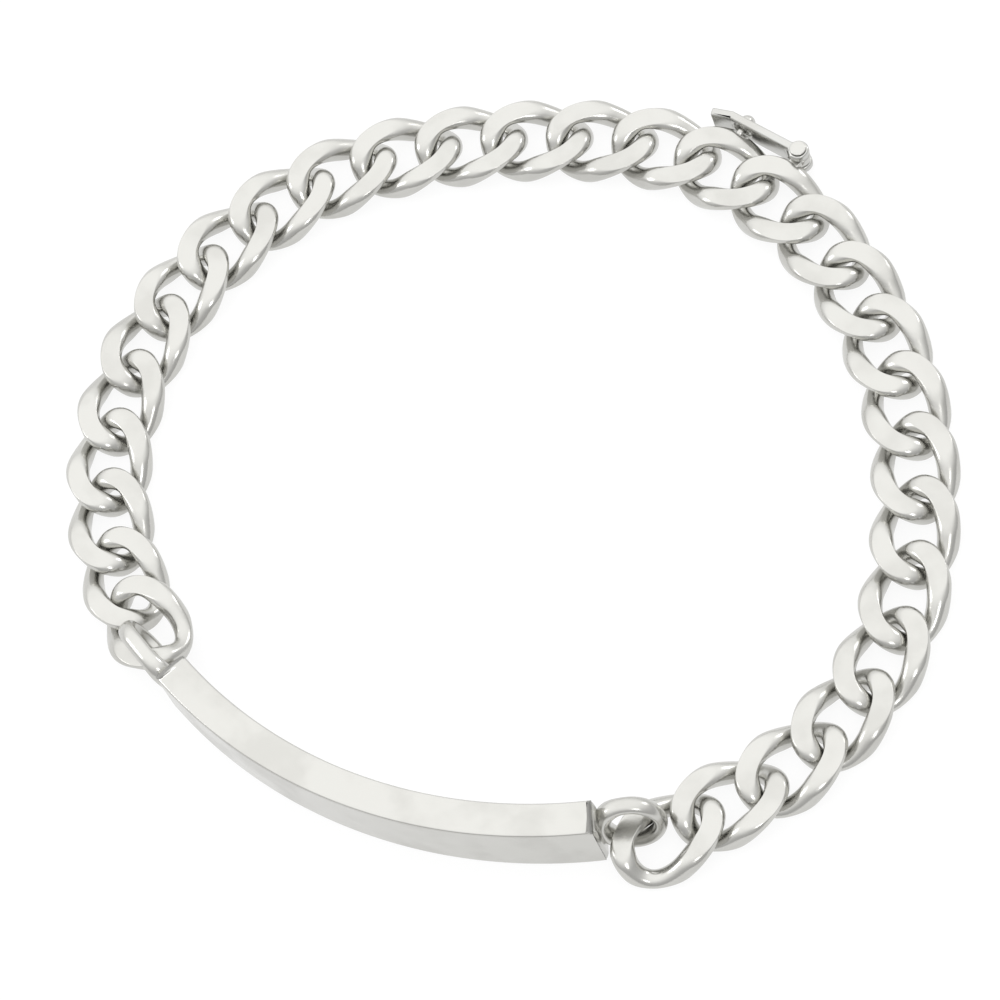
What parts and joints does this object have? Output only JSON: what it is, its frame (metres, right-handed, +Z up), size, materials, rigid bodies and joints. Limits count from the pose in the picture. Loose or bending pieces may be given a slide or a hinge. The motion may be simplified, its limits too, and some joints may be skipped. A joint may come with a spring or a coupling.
{
  "type": "chain bracelet",
  "caption": "Curb-link identity bracelet with a curved blank plate and a hinged safety catch, lying closed in a loop.",
  "frame": {"origin": "on the ground under the middle of the bracelet's bounding box", "axes": "+Z up through the wrist opening, +X along the plate's length towards its right end, -Y from the middle of the bracelet to the plate, which is its front"},
  "size_m": [0.0757, 0.0674, 0.0057],
  "materials": {
    "silver": "polished silver with ground flats and fine wear",
    "catch_silver": "brushed silver, a little duller than the links"
  },
  "bodies": {
    "bracelet": {"id_plate": "silver", "link_01": "silver", "link_02": "silver", "link_03": "silver", "link_04": "silver", "link_05": "silver", "link_06": "silver", "link_07": "silver", "link_08": "silver", "link_09": "silver", "link_10": "silver", "link_11": "silver", "link_12": "silver", "link_13": "silver", "link_14": "silver", "link_15": "silver", "link_16": "silver", "link_17": "silver", "link_18": "silver", "link_19": "silver", "link_20": "silver", "link_21": "silver", "link_22": "silver", "link_23": "silver", "link_24": "silver", "link_25": "silver", "link_26": "silver", "link_27": "silver", "link_28": "silver", "link_29": "silver"},
    "catch": {"safety_catch": "catch_silver"}
  },
  "joints": [
    {"name": "catch_hinge", "type": "hinge", "parent": "bracelet", "child": "catch", "pos_m": [0.0101, 0.0318, 0.00175], "axis": [0, 0, -1], "range_deg": [0, 110]}
  ]
}
